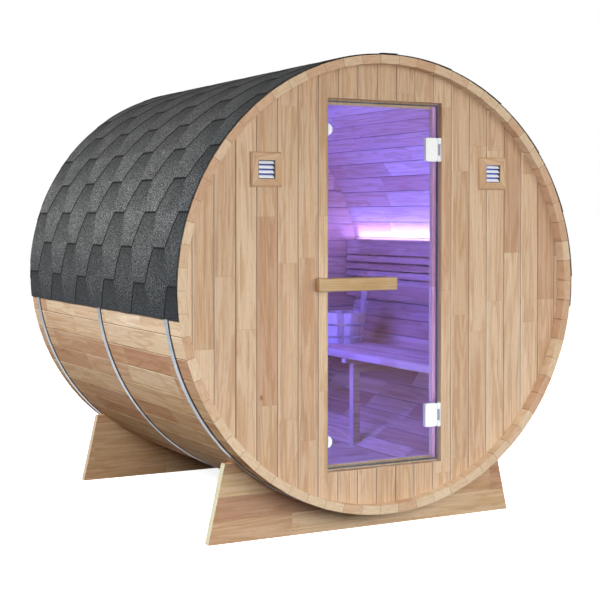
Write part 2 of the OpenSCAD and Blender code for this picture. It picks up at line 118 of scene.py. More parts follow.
def dress(material, *names):
    for name in names:
        for slot in frame["nodes"][name].material_slots:
            slot.material = material


# where a point lies on its board: along the grain, across the boards and through the board,
# how end on it is, and how near to a mitre
def boardPlace(tree, wood):
    place = addNode(tree, "TexCoord")
    axes = addNode(tree, "SeparateXYZ", {0: place.outputs["Object"]}).outputs
    facing = addNode(tree, "SeparateXYZ", {0: place.outputs["Normal"]}).outputs
    pick = ["XYZ".index(letter) for letter in wood["axes"]]
    along, across, deep = [axes[index] for index in pick]
    endOn = addNode(tree, "Math", {0: facing[pick[0]]}, operation="ABSOLUTE")
    if wood["layout"] == "straight":
        return along, across, deep, endOn, 0.0
    side = addNode(tree, "Math", {0: across, 1: wood["centre"][0]}, operation="SUBTRACT")
    rise = addNode(tree, "Math", {0: deep, 1: wood["centre"][1]}, operation="SUBTRACT")
    if wood["layout"] == "round":
        turn = addNode(tree, "Math", {0: rise, 1: side}, operation="ARCTAN2")
        across = addNode(tree, "Math", {0: turn, 1: wood["radius"]}, operation="MULTIPLY")
        reach = addNode(tree, "CombineXYZ", {0: side, 1: rise})
        deep = addNode(tree, "VectorMath", {0: reach}, operation="LENGTH").outputs["Value"]
        return along, across, deep, endOn, 0.0
    # mitred: the grain turns at the diagonals of a square frame, one on each side of the middle
    outX = addNode(tree, "Math", {0: across}, operation="ABSOLUTE")
    side = addNode(tree, "Math", {0: outX, 1: wood["centre"][0]}, operation="SUBTRACT")
    wide = addNode(tree, "Math", {0: side}, operation="ABSOLUTE")
    high = addNode(tree, "Math", {0: rise}, operation="ABSOLUTE")
    upright = addNode(tree, "Math", {0: wide, 1: high}, operation="GREATER_THAN")
    apart = addNode(tree, "Math", {0: wide, 1: high}, operation="SUBTRACT")
    away = addNode(tree, "Math", {0: apart}, operation="ABSOLUTE")
    mitre = addNode(tree, "MapRange", {"Value": away, "From Min": 1 * mm, "From Max": 3 * mm,
                                       "To Min": 0.25, "To Max": 0.0})
    run = addNode(tree, "Mix", {0: upright, 2: side, 3: rise})
    cross = addNode(tree, "Mix", {0: upright, 2: rise, 3: side})
    return run, cross, along, 0.0, mitre


# planed softwood in boards, each glued up from shorter lengths, so the tone jumps along a board;
# straight grain with short flecks, wandering figure and a few knots, dark joints with a painted highlight
# on one side where the chamfer would catch the light, and plain end grain
def timber(name, wood):
    material, tree, skin = newMaterial(name)
    along, across, deep, endOn, mitre = boardPlace(tree, wood)
    late, gap = wood["late"], linear(wood["gap"])
    # which board, and which length along it
    shifted = addNode(tree, "Math", {0: across, 1: wood["start"]}, operation="SUBTRACT")
    count = addNode(tree, "Math", {0: shifted, 1: wood["pitch"]}, operation="DIVIDE")
    board = addNode(tree, "Math", {0: count}, operation="FLOOR")
    inBoard = addNode(tree, "Math", {0: count}, operation="FRACT")
    seeded = addNode(tree, "Math", {0: board, 1: wood["seed"]}, operation="ADD")
    luck = addNode(tree, "TexWhiteNoise", {"W": seeded}, noise_dimensions="1D")
    fewest, most = [share / wood["length"] for share in wood["lengthSpread"]]
    stretch = addNode(tree, "MapRange", {"Value": luck, "To Min": fewest, "To Max": most})
    lengths = addNode(tree, "Math", {0: along, 1: stretch}, operation="MULTIPLY")
    offset = addNode(tree, "Math", {0: luck, 1: wood["stagger"]}, operation="MULTIPLY")
    lengthAt = addNode(tree, "Math", {0: lengths, 1: offset}, operation="ADD")
    block = addNode(tree, "Math", {0: lengthAt}, operation="FLOOR")
    inLength = addNode(tree, "Math", {0: lengthAt}, operation="FRACT")
    ticket = addNode(tree, "CombineXYZ", {0: seeded, 1: block, 2: wood["seed"]})
    draw = addNode(tree, "TexWhiteNoise", {"Vector": ticket}, noise_dimensions="3D")
    tone = addNode(tree, "ValToRGB", {0: draw.outputs["Value"]}, stops=evenStops(wood["tones"]))
    # patterns drawn out along the board, shifted for each length
    run = addNode(tree, "CombineXYZ", {0: along, 1: across, 2: deep})
    drift = addNode(tree, "VectorMath", {0: draw.outputs["Color"], "Scale": wood["drift"]},
                    operation="SCALE")

    def drawnOut(size):
        return addNode(tree, "VectorMath", {0: run, 1: [1 / s for s in size], 2: drift},
                       operation="MULTIPLY_ADD")

    def streaks(size, detail, distortion):
        return addNode(tree, "TexNoise", {"Vector": drawnOut(size), "Scale": 1.0, "Detail": detail,
                                          "Distortion": distortion}).outputs[0]

    grain, fleck = wood["grain"], 0.7 * wood["grain"]
    fine = streaks((wood["grainRun"], grain, grain), 3.0, 0.3)
    flecks = streaks((wood["fleckRun"], fleck, fleck), 1.0, 0.0)
    broad = streaks(wood["figure"], 2.0, 0.6)
    fineTint = addNode(tree, "ValToRGB", {0: fine}, stops=[(0.30, late), (0.62, "#ffffff")])
    fleckTint = addNode(tree, "ValToRGB", {0: flecks}, stops=[(0.30, late), (0.44, "#ffffff")])
    # figure: level lines of the broad noise, like the arches of a flat-sawn board
    levels = addNode(tree, "Math", {0: broad, 1: wood["arches"]}, operation="MULTIPLY")
    wave = addNode(tree, "Math", {0: levels}, operation="SINE")
    crest = addNode(tree, "MapRange", {"Value": wave, "From Min": -1.0})
    waveTint = addNode(tree, "ValToRGB", {0: crest}, stops=[(0.0, wood["heart"]), (0.55, "#ffffff")])
    grained = addNode(tree, "MixRGB", {0: 1.0, 1: tone, 2: fineTint}, blend_type="MULTIPLY")
    flecked = addNode(tree, "MixRGB", {0: wood["fleckShare"], 1: grained, 2: fleckTint},
                      blend_type="MULTIPLY")
    figured = addNode(tree, "MixRGB", {0: wood["figureShare"], 1: flecked, 2: waveTint},
                      blend_type="MULTIPLY")
    # knots, about 12 mm across, in few of the cells
    cells = addNode(tree, "TexVoronoi", {"Vector": drawnOut(wood["knotCell"]), "Scale": 1.0})
    core = addNode(tree, "MapRange", {"Value": cells.outputs["Distance"], "From Min": wood["knotSize"][0],
                                      "From Max": wood["knotSize"][1], "To Min": 1.0, "To Max": 0.0},
                   interpolation_type="SMOOTHSTEP")
    rare = addNode(tree, "SeparateXYZ", {0: cells.outputs["Color"]})
    chosen = addNode(tree, "Math", {0: rare, 1: wood["knots"]}, operation="LESS_THAN")
    knot = addNode(tree, "Math", {0: core, 1: chosen}, operation="MULTIPLY")
    knotted = addNode(tree, "MixRGB", {0: knot, 1: figured, 2: linear(wood["knotTone"])})
    # joints: a painted highlight on one side of a thin dark line, standing for light caught by the chamfer,
    # stronger on some boards than on others
    lowEdge = addNode(tree, "Math", {0: inBoard, 1: wood["pitch"]}, operation="MULTIPLY")
    highlight = addNode(tree, "MapRange", {"Value": lowEdge, "From Min": wood["highlightWidth"][0],
                                      "From Max": wood["highlightWidth"][1], "To Min": wood["paintedHighlight"],
                                      "To Max": 0.0}, interpolation_type="SMOOTHSTEP")
    someEdges = addNode(tree, "MapRange", {"Value": luck, "To Min": 0.05, "To Max": 1.0})
    highlightHere = addNode(tree, "Math", {0: highlight, 1: someEdges}, operation="MULTIPLY")
    centred = addNode(tree, "Math", {0: inBoard, 1: 0.5}, operation="SUBTRACT")
    outward = addNode(tree, "Math", {0: centred}, operation="ABSOLUTE")
    toJoint = addNode(tree, "Math", {0: 0.5, 1: outward}, operation="SUBTRACT")
    jointAway = addNode(tree, "Math", {0: toJoint, 1: wood["pitch"]}, operation="MULTIPLY")
    joint = addNode(tree, "MapRange", {"Value": jointAway, "From Min": wood["jointWidth"][0],
                                       "From Max": wood["jointWidth"][1], "To Min": wood["darkJoint"],
                                       "To Max": 0.0}, interpolation_type="SMOOTHSTEP")
    dark = addNode(tree, "Math", {0: joint, 1: mitre}, operation="MAXIMUM")
    buttAway = addNode(tree, "Math", {0: inLength, 1: wood["length"]}, operation="MULTIPLY")
    butt = addNode(tree, "MapRange", {"Value": buttAway, "From Min": wood["buttWidth"][0],
                                      "From Max": wood["buttWidth"][1], "To Min": 0.25 * wood["darkJoint"],
                                      "To Max": 0.0})
    edged = addNode(tree, "MixRGB", {0: highlightHere, 1: knotted, 2: linear(wood["edge"])})
    joined = addNode(tree, "MixRGB", {0: dark, 1: edged, 2: gap})
    face = addNode(tree, "MixRGB", {0: butt, 1: joined, 2: gap})
    # painted shade: the staves that turn under are darkened to a warmer brown; a painted shadow lies before
    # each band, broader where the staves turn under
    if wood["bandShadows"]:
        radius, low = wood["radius"], wood["under"]
        fromFoot = addNode(tree, "Math", {0: across, 1: radius * math.pi / 2}, operation="ADD")
        awayFoot = addNode(tree, "Math", {0: fromFoot}, operation="ABSOLUTE")
        under = addNode(tree, "MapRange", {"Value": awayFoot, "From Min": low["full"] * radius,
                                           "From Max": low["none"] * radius, "To Min": 1.0, "To Max": 0.0})
        face = addNode(tree, "MixRGB", {0: under, 1: face, 2: linear(low["tint"])}, blend_type="MULTIPLY")
        bandShadowWidth = addNode(tree, "MapRange", {"Value": under, "To Min": low["thinShadow"],
                                                "To Max": low["wideShadow"]})
        outside = addNode(tree, "Math", {0: deep, 1: radius - 8 * mm}, operation="GREATER_THAN")
    for bandEdge in wood["bandShadows"]:
        before = addNode(tree, "Math", {0: bandEdge, 1: along}, operation="SUBTRACT")
        behind = addNode(tree, "Math", {0: before, 1: -10 * mm}, operation="GREATER_THAN")
        share = addNode(tree, "Math", {0: before, 1: bandShadowWidth}, operation="DIVIDE")
        near = addNode(tree, "MapRange", {"Value": share, "From Min": 0.7, "From Max": 1.0,
                                          "To Min": 0.92, "To Max": 0.0})
        onBand = addNode(tree, "Math", {0: near, 1: behind}, operation="MULTIPLY")
        bandShadow = addNode(tree, "Math", {0: onBand, 1: outside}, operation="MULTIPLY")
        face = addNode(tree, "MixRGB", {0: bandShadow, 1: face, 2: linear(low["bandShadowTone"])})
    # end grain: one tone a board, speckled with rings seen end on
    endSeed = addNode(tree, "Math", {0: seeded, 1: wood["endShift"]}, operation="ADD")
    endDraw = addNode(tree, "TexWhiteNoise", {"W": endSeed}, noise_dimensions="1D")
    endTone = addNode(tree, "ValToRGB", {0: endDraw.outputs["Value"]}, stops=evenStops(wood["ends"]))
    rings = streaks(wood["rings"], 3.0, 0.0)
    ringTint = addNode(tree, "ValToRGB", {0: rings}, stops=[(0.3, late), (0.6, "#ffffff")])
    endGrain = addNode(tree, "MixRGB", {0: 1.0, 1: endTone, 2: ringTint}, blend_type="MULTIPLY")
    endDark = addNode(tree, "Math", {0: dark, 1: 0.45}, operation="MULTIPLY")
    endJoint = addNode(tree, "MixRGB", {0: endDark, 1: endGrain, 2: gap})
    isEnd = addNode(tree, "MapRange", {"Value": endOn, "From Min": 0.7, "From Max": 0.85})
    # the inside of a stave beyond the end wall has the paler tone of its end
    if wood["lip"]:
        farOut = addNode(tree, "Math", {0: along}, operation="ABSOLUTE")
        beyond = addNode(tree, "Math", {0: farOut, 1: wood["lip"]}, operation="GREATER_THAN")
        inside = addNode(tree, "Math", {0: deep, 1: wood["radius"] - 5 * mm}, operation="LESS_THAN")
        onLip = addNode(tree, "Math", {0: beyond, 1: inside}, operation="MULTIPLY")
        isEnd = addNode(tree, "Math", {0: isEnd, 1: onLip}, operation="MAXIMUM")
    colour = addNode(tree, "MixRGB", {0: isEnd, 1: face, 2: endJoint})
    rough = addNode(tree, "MapRange", {"Value": fine, "From Min": 0.3, "From Max": 0.7,
                                       "To Min": wood["rough"] + 0.1, "To Max": wood["rough"]})
    bump = addNode(tree, "Bump", {"Height": fine, "Strength": 0.25, "Distance": 0.6 * mm})
    tree.links.new(colour.outputs[0], skin.inputs["Base Color"])
    tree.links.new(rough.outputs[0], skin.inputs["Roughness"])
    tree.links.new(bump.outputs[0], skin.inputs["Normal"])
    skin.inputs["Specular IOR Level"].default_value = wood["gloss"]
    return material


# axes: along the grain, across the boards, through a board; pattern sizes go the same way, in metres
hemlock = {
    "layout": "straight", "axes": "YXZ", "pitch": 0.085, "start": 0.0, "length": 0.55, "seed": 1.0,
    "lengthSpread": (0.75, 1.3),  # fewest and most pieces in the usual length
    "stagger": 37.0, "drift": 9.0, "endShift": 5.3,  # keep the draws of neighbours apart
    "tones": ["#d9bda0", "#d3b597", "#caaa8b", "#d0b092", "#c29d80", "#d7ba9c"],
    "ends": ["#dcc2a4", "#d4b798", "#d7bc9e", "#cfac8d", "#c6a082"],
    # the pale edge tone in this line is the painted highlight beside the joints
    "late": "#efe7dd", "heart": "#ece2d7", "edge": "#f4e5d0", "gap": "#6b4f3a", "knotTone": "#8a5f3f",
    "grain": 5 * mm,  # drawn coarser than the real 2 mm so that it shows
    "grainRun": 0.26, "fleckRun": 0.03, "fleckShare": 0.55,
    "figure": (0.55, 0.045, 0.045), "figureShare": 0.8, "arches": 26.0,
    "knotCell": (0.21, 0.13, 0.13), "knotSize": (0.03, 0.085), "knots": 0.1,
    "rings": (0.05, 0.03, 0.005),
    # strength and width of the painted highlight on one side of each joint
    "paintedHighlight": 0.62, "highlightWidth": (3.0 * mm, 5.5 * mm),
    "darkJoint": 0.75, "jointWidth": (0.7 * mm, 2.1 * mm), "buttWidth": (0.8 * mm, 2.2 * mm),
    "rough": 0.6, "gloss": 0.06, "bandShadows": [], "lip": 0.0,
}
# pieces that show no joints of their own
plain = {**hemlock, "paintedHighlight": 0.0, "darkJoint": 0.0}

dress(timber("hemlockStaves", {
    **hemlock, "layout": "round", "centre": (0.0, barrel["axisZ"]), "radius": barrel["faceR"],
    "pitch": barrel["staveTurn"] * barrel["faceR"], "length": 0.47, "seed": 125.0,
    # painted shadows before the bands, and painted shade on the staves that turn under
    "bandShadows": [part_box(band)[0].y for band in ("band_front", "band_middle", "band_rear")],
    "under": {"full": 0.85, "none": 1.5, "tint": "#f7e4cb", "bandShadowTone": "#33251b",
              "thinShadow": 10 * mm, "wideShadow": 24 * mm},
    "tones": ["#eddbc4", "#e6d0b5", "#d0ae94", "#e8d3b8", "#dabb9f", "#c9a38a", "#ead6be"],
    "paintedHighlight": 0.55, "gloss": 0.02, "lip": -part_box("front_wall_left")[0].y,
}), "staves_bottom", "staves_lower_right", "staves_upper_right", "staves_top", "staves_upper_left",
    "staves_lower_left")
dress(timber("hemlockWall", {
    **hemlock, "axes": "ZXY", "pitch": barrel["boardPitch"], "start": barrel["boardStart"], "seed": 11.0,
    "length": 0.75,
}), "front_wall_left", "front_wall_right", "front_wall_above", "front_wall_below")
dress(timber("hemlockRearWall", {
    **hemlock, "axes": "XZY", "pitch": barrel["boardPitch"], "seed": 23.0, "length": 0.8,
    "start": barrel["axisZ"] + barrel["boardStart"],
}), "rear_wall")
dress(timber("hemlockStops", {
    **plain, "axes": "ZXY", "pitch": 0.6, "start": -0.8, "seed": 31.0, "length": 0.9, "knots": 0.0,
    "tones": ["#dcc09e", "#d4b694", "#ceb08e"],
}), "door_stops")
cradleWood = {
    **hemlock, "axes": "XZY", "pitch": 0.09, "seed": 75.0, "length": 0.8, "grain": 9 * mm, "knots": 0.06,
    "tones": ["#dcbb96", "#c1967a", "#e0c19c", "#c69c7a", "#e2c49e"],
    "ends": ["#dddabe", "#d7d2b3", "#dad5b8"],
    "late": "#f0e9e0", "heart": "#efe6da", "paintedHighlight": 0.0, "darkJoint": 0.2,
}
dress(timber("hemlockCradles", cradleWood), "cradle_front")
dress(timber("hemlockRearCradle", {
    **cradleWood, "seed": 41.0, "tones": ["#f0cca2", "#e2b48d", "#f0d0a8", "#e6bc95"],
    "ends": ["#d7c4ab", "#d2bea4", "#d5c1a8"],
}), "cradle_rear")
dress(timber("hemlockFloor", {**plain, "axes": "XYZ", "pitch": 0.066, "seed": 53.0}), "floor_boards")
dress(timber("hemlockBearers", {**plain, "axes": "YZX", "pitch": 0.3, "seed": 59.0}), "floor_bearers")
dress(timber("aspenSeat", {
    **plain, "start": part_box("bench_seat")[0].x, "seed": 61.0, "length": 0.9,
    "tones": ["#e2ccb4", "#dbc2a8", "#d4b89d"],
}), "bench_seat")
dress(timber("hemlockSupport", {**plain, "axes": "XZY", "pitch": 0.3, "seed": 67.0}), "bench_support")
dress(timber("hemlockBackrest", {
    **plain, "axes": "YZX", "pitch": 0.038, "seed": 71.0, "length": 0.9,
}), "backrest_slats")
dress(timber("hemlockBattens", {**plain, "axes": "ZYX", "pitch": 0.31, "seed": 73.0}), "backrest_battens")
handleWood = timber("ashHandle", {
    **plain, "axes": "XZY", "pitch": 0.2, "start": 0.9, "seed": 83.0, "length": 2.0, "knots": 0.0,
    "grain": 4 * mm, "tones": ["#c2a582", "#bda07c"], "ends": ["#b3916a", "#ae8b64"],
    "late": "#ecdfcd", "heart": "#f2e9dc",
})
ventLow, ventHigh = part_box("vent_frame_right")
ventWood = timber("hemlockVents", {
    **plain, "layout": "mitred", "axes": "YXZ", "pitch": 0.4, "start": -0.2, "seed": 89.0, "length": 0.9,
    "knots": 0.0, "tones": ["#d2b191", "#cdaa8a"],
    "centre": ((ventLow.x + ventHigh.x) / 2, (ventLow.z + ventHigh.z) / 2),
})
print("timber dressed")


# a finish whose tone wanders between two shades, in patches of the given size
def mottled(name, patch, detail, spread, shades, rough):
    material, tree, skin = newMaterial(name)
    place = addNode(tree, "TexCoord")
    cloud = addNode(tree, "TexNoise", {"Vector": place.outputs["Object"], "Scale": 1 / patch,
                                       "Detail": detail}).outputs[0]
    tint = addNode(tree, "ValToRGB", {0: cloud}, stops=list(zip(spread, shades)))
    tree.links.new(tint.outputs[0], skin.inputs["Base Color"])
    skin.inputs["Roughness"].default_value = rough
    return {"material": material, "tree": tree, "skin": skin, "place": place.outputs, "cloud": cloud,
            "tint": tint}


# galvanised steel strip: bluish grey, half matt, with a faint cloudy spangle
def galvanised(name, shades):
    steel = mottled(name, 50 * mm, 4.0, (0.35, 0.7), shades, 0.4)
    rough = addNode(steel["tree"], "MapRange", {"Value": steel["cloud"], "To Min": 0.3, "To Max": 0.5})
    steel["tree"].links.new(rough.outputs[0], steel["skin"].inputs["Roughness"])
    steel["skin"].inputs["Metallic"].default_value = 1.0
    return steel["material"]


# powder-coated hardware: satin white with a fine orange-peel skin
def powderWhite():
    coat = mottled("powderCoatWhite", 3 * mm, 2.0, (0.3, 0.7), ("#ececec", "#f6f6f6"), 0.32)
    peel = addNode(coat["tree"], "Bump", {"Height": coat["cloud"], "Strength": 0.1, "Distance": 0.2 * mm})
    coat["tree"].links.new(peel.outputs[0], coat["skin"].inputs["Normal"])
    return coat["material"]


# the same coat on the door's hinge plates, with grey knuckles and a painted shade on the faces that look
# left
def hingeWhite(knuckleX):
    coat = mottled("hingeCoat", 3 * mm, 2.0, (0.3, 0.7), ("#ebe9e5", "#f3f0ec"), 0.32)
    tree = coat["tree"]
    spot = addNode(tree, "SeparateXYZ", {0: coat["place"]["Object"]})
    facing = addNode(tree, "SeparateXYZ", {0: coat["place"]["Normal"]})
    # painted shade: faces that look left are greyed
    leftShade = addNode(tree, "Math", {0: facing, 1: -0.75}, operation="LESS_THAN")
    edged = addNode(tree, "MixRGB", {0: leftShade, 1: coat["tint"], 2: linear("#c4c3cc")})
    onKnuckle = addNode(tree, "Math", {0: spot, 1: knuckleX}, operation="GREATER_THAN")
    knuckled = addNode(tree, "MixRGB", {0: onKnuckle, 1: edged, 2: linear("#94969a")})
    tree.links.new(knuckled.outputs[0], coat["skin"].inputs["Base Color"])
    return coat["material"]


# clear toughened glass: nearly no reflection here, so that the room shows through, and little of the
# studio lamps' light passes into the room
def clearGlass():
    material, tree, skin = newMaterial("toughenedGlass")
    skin.inputs["Base Color"].default_value = linear("#f6fafa")
    skin.inputs["Transmission Weight"].default_value = 1.0
    skin.inputs["Roughness"].default_value = 0.0
    skin.inputs["IOR"].default_value = 1.2
    path = addNode(tree, "LightPath")
    passing = addNode(tree, "BsdfTransparent", {"Color": linear("#808090")})
    either = addNode(tree, "MixShader", {0: path.outputs["Is Shadow Ray"], 1: skin, 2: passing})
    tree.links.new(either.outputs[0], tree.nodes["Material Output"].inputs["Surface"])
    return material


# light strip: a milky cover that glows violet from its upper face
def glowStrip():
    strip = {"cover": "#efe6ff", "glow": "#6866ff", "strength": 400.0}
    material, tree, skin = newMaterial("glowingSilicone")
    facing = addNode(tree, "SeparateXYZ", {0: addNode(tree, "TexCoord").outputs["Normal"]})
    upward = addNode(tree, "MapRange", {"Value": facing.outputs[2], "From Min": 0.4, "From Max": 0.6,
                                        "To Min": 0.0, "To Max": strip["strength"]})
    skin.inputs["Base Color"].default_value = linear(strip["cover"])
    skin.inputs["Emission Color"].default_value = linear(strip["glow"])
    tree.links.new(upward.outputs[0], skin.inputs["Emission Strength"])
    return material


dress(galvanised("galvanisedSteel", ("#6c757f", "#8a949e")), "band_front", "band_middle", "band_rear",
      "handle_bolts")
dress(galvanised("brightSteel", ("#dfe3ea", "#f2f4f8")), "bucket_hoops")
whiteCoat = powderWhite()
dress(whiteCoat, "hinge_leaf_upper", "hinge_leaf_lower")
dress(clearGlass(), "door_glass")
dress(glowStrip(), "light_strip")
# the pane's edge: dark grey blue, standing for the dark look of the glass edge, with painted shade of the
# gap round the pane
paneEdgeShade = mottled("paneEdgeAndGapShade", 200 * mm, 2.0, (0.35, 0.65), ("#2b333b", "#46525c"), 0.25)
print("metal, coating and glass dressed")


# ends a bmesh as a finished piece on its body
def finishPiece(name, shape, body, slot, *materials):
    mesh = bpy.data.meshes.new(name)
    shape.to_mesh(mesh)
    shape.free()
    for material in materials:
        mesh.materials.append(material)
    for face in mesh.polygons:
        face.use_smooth = True
    mesh.set_sharp_from_angle(angle=math.radians(28))
    piece = bpy.data.objects.new(name, mesh)
    scene.collection.objects.link(piece)
    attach(piece, body)
    return piece


# joins a bmesh onto another and frees it
def addShape(whole, part):
    spare = bpy.data.meshes.new("spare")
    part.to_mesh(spare)
    part.free()
    whole.from_mesh(spare)
    bpy.data.meshes.remove(spare)


def everything(shape):
    return shape.verts[:] + shape.edges[:] + shape.faces[:]


def trim(shape, place, normal):
    bmesh.ops.bisect_plane(shape, geom=everything(shape), plane_co=place, plane_no=normal, clear_outer=True)


# opens both ends of a box, along Y, and joins them by an inner wall
def hollow(shape, ends):
    bmesh.ops.delete(shape, geom=ends, context="FACES_ONLY")
    bmesh.ops.bridge_loops(shape, edges=[e for e in shape.edges if e.is_boundary])
    bmesh.ops.recalc_face_normals(shape, faces=shape.faces)


# a copy of a node's solid with its sharp edges eased
def eased(node, width, slot, material, segments=2):
    source = frame["nodes"][node]
    shape = bmesh.new()
    shape.from_mesh(source.data)
    bmesh.ops.remove_doubles(shape, verts=shape.verts, dist=0.01 * mm)
    bmesh.ops.dissolve_limit(shape, angle_limit=math.radians(0.5), verts=shape.verts, edges=shape.edges)
    sharp = [e for e in shape.edges if len(e.link_faces) == 2 and e.calc_face_angle() > math.radians(35)]
    bmesh.ops.bevel(shape, geom=sharp, offset=width, segments=segments, profile=0.5, affect="EDGES",
                    material=-1, clamp_overlap=True)
    piece = finishPiece(node + "_eased", shape, source["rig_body"], slot, material)
    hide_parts(node)


for node in ("outside_handle", "inside_handle"):
    eased(node, 1.5 * mm, "handle_wood", handleWood, 3)
knuckle = 9.5 * mm  # width of the grey knuckle strip at the hinge side of a clamp
hingeCoat = hingeWhite(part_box("hinge_clamp_upper")[1].x - knuckle)
for node in ("hinge_clamp_upper", "hinge_clamp_lower"):
    eased(node, 1.0 * mm, "hinge_white", hingeCoat)
for node in ("door_catch_upper", "door_catch_lower"):
    eased(node, 1.0 * mm, "hinge_white", whiteCoat)
for node in ("vent_frame_left", "vent_frame_right"):
    eased(node, 1.5 * mm, "vent_wood", ventWood)


# the pane's edge seen from in front, with painted shade of the gap round the pane: a dark frame a hair proud
# of the pane, narrow at the free side
def glassRim():
    rim = {"width": 8 * mm, "proud": 0.15 * mm, "free": 1 * mm}
    low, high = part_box("door_glass")
    shape = bmesh.new()
    bmesh.ops.create_cube(shape, size=1)
    bmesh.ops.scale(shape, vec=high - low + 2 * Vector([rim["proud"]] * 3), verts=shape.verts)
    bmesh.ops.translate(shape, vec=(low + high) / 2, verts=shape.verts)
    broad = [f for f in shape.faces if abs(f.normal.y) > 0.9]
    bmesh.ops.inset_individual(shape, faces=broad, thickness=rim["width"])
    inner = {v for f in broad for v in f.verts if v.co.x < (low.x + high.x) / 2}
    bmesh.ops.translate(shape, vec=(rim["free"] - rim["width"], 0, 0), verts=list(inner))
    hollow(shape, broad)
    finishPiece("glass_rim", shape, "door", "door_glass", paneEdgeShade["material"])


glassRim()

louvreLow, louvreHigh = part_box("vent_louvre_right")
louvre = {
    "front": louvreLow.y, "rear": louvreHigh.y, "half": (louvreHigh.x - louvreLow.x) / 2,
    "x": (louvreLow.x + louvreHigh.x) / 2, "z": (louvreLow.z + louvreHigh.z) / 2,
    "wall": 3 * mm, "blades": 4, "sheet": 2.2 * mm, "nose": 1.5 * mm, "ease": 0.5 * mm,
    # the painted shade on a blade starts at the first of these depths and is full at the second
    "white": 10.5 * mm, "dark": 12.5 * mm,  # depths at which a blade stops being white and is all dark
}


# louvre: white blades with a painted blue-grey shade where they rise back into the dark of the duct, in a
# sleeve painted dark grey as shade
def louvreShadedPlastic():
    material, tree, skin = newMaterial("louvreShadedPlastic")
    spot = addNode(tree, "SeparateXYZ", {0: addNode(tree, "TexCoord").outputs["Object"]}).outputs
    depth = addNode(tree, "Math", {0: spot[1], 1: louvre["front"]}, operation="SUBTRACT")
    nose = addNode(tree, "MapRange", {"Value": depth, "From Min": louvre["white"],
                                      "From Max": louvre["dark"]})
    # painted shade: the deeper part of each blade goes blue-grey
    blade = addNode(tree, "ValToRGB", {0: nose}, stops=[(0.0, "#ffffff"), (1.0, "#5a6ab0")])
    outX = addNode(tree, "Math", {0: spot[0]}, operation="ABSOLUTE")
    side = addNode(tree, "Math", {0: outX, 1: louvre["x"]}, operation="SUBTRACT")
    rise = addNode(tree, "Math", {0: spot[2], 1: louvre["z"]}, operation="SUBTRACT")
    wide = addNode(tree, "Math", {0: side}, operation="ABSOLUTE")
    high = addNode(tree, "Math", {0: rise}, operation="ABSOLUTE")
    reach = addNode(tree, "Math", {0: wide, 1: high}, operation="MAXIMUM")
    # painted shade: the sleeve's inner walls are dark grey
    sleeveShade = addNode(tree, "Math", {0: reach, 1: louvre["half"] - louvre["wall"] - 0.2 * mm},
                     operation="GREATER_THAN")
    tint = addNode(tree, "MixRGB", {0: sleeveShade, 1: blade, 2: linear("#585654")})
    tree.links.new(tint.outputs[0], skin.inputs["Base Color"])
    skin.inputs["Roughness"].default_value = 0.4
    return material


# a square sleeve with four blades, each with its lower edge in front so that it sheds the rain
def ventLouvre(name, node, x, plastic):
    whole = bmesh.new()
    half, deep = louvre["half"], louvre["rear"] - louvre["front"]
    bmesh.ops.create_cube(whole, size=1)
    bmesh.ops.scale(whole, vec=(2 * half, deep, 2 * half), verts=whole.verts)
    ends = [f for f in whole.faces if abs(f.normal.y) > 0.9]
    bmesh.ops.inset_individual(whole, faces=ends, thickness=louvre["wall"])
    hollow(whole, ends)
    inner = half - louvre["wall"]
    step = (2 * inner - louvre["white"]) / (louvre["blades"] - 1)
    slant = (deep - 2 * louvre["nose"]) * math.sqrt(2) - louvre["sheet"]
    for index in range(louvre["blades"]):
        blade = bmesh.new()
        bmesh.ops.create_cube(blade, size=1)
        bmesh.ops.scale(blade, vec=(2 * inner, louvre["sheet"], slant), verts=blade.verts)
        bmesh.ops.bevel(blade, geom=blade.edges[:], offset=louvre["ease"], segments=1, profile=0.5,
                        affect="EDGES", material=-1)
        bmesh.ops.rotate(blade, verts=blade.verts, matrix=Matrix.Rotation(math.radians(-45), 3, "X"))
        foot = min(v.co.z for v in blade.verts)
        bmesh.ops.translate(blade, verts=blade.verts, vec=(0, 0, index * step - inner - foot))
        trim(blade, (0, 0, inner), (0, 0, 1))
        bmesh.ops.holes_fill(blade, edges=[e for e in blade.edges if e.is_boundary])
        addShape(whole, blade)
    middle = (x, (louvre["front"] + louvre["rear"]) / 2, louvre["z"])
    bmesh.ops.translate(whole, verts=whole.verts, vec=middle)
    piece = finishPiece(name, whole, "cabin", "vent_white", plastic)
    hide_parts(node)


louvreShaded = louvreShadedPlastic()
ventLouvre("louvre_left", "vent_louvre_left", -louvre["x"], louvreShaded)
ventLouvre("louvre_right", "vent_louvre_right", louvre["x"], louvreShaded)
print("hardware eased")

roof = {
    "sheet": 1.5 * mm,      # thickness of one shingle
    "rise": 139 * mm,       # height of a course that shows
    "pitch": 340 * mm,      # tooth to tooth
    "toe": 59 * mm,         # half width of a tooth at its foot
    "shoulder": 111 * mm,   # and at its shoulder
    "eave": math.radians(187),
    "firstFoot": math.radians(187.77),
    "courses": 11,
    "oddCentre": -194 * mm,
    "evenCentre": -24 * mm,
    "slices": 5,            # cuts in a course so that it bends round the barrel
    "capLength": 250 * mm, "capShow": 140 * mm, "capHalf": 40 * mm, "capSheet": 0.9 * mm,
    "base": barrel["roofR"] - 5.5 * mm,
    "low": roofLow.z, "high": roofHigh.z,
    "grit": 4.2 * mm,       # coarser than the real 1 mm grit so that it shows
    # these set the painted shade at each tab's head and the strength of its painted shadow lines
    "shade": (0.12, 0.66), "shadowLine": 0.95, "frontFade": 0.3,
}
roof["turn"] = roof["rise"] / (barrel["roofR"] - 2 * mm)
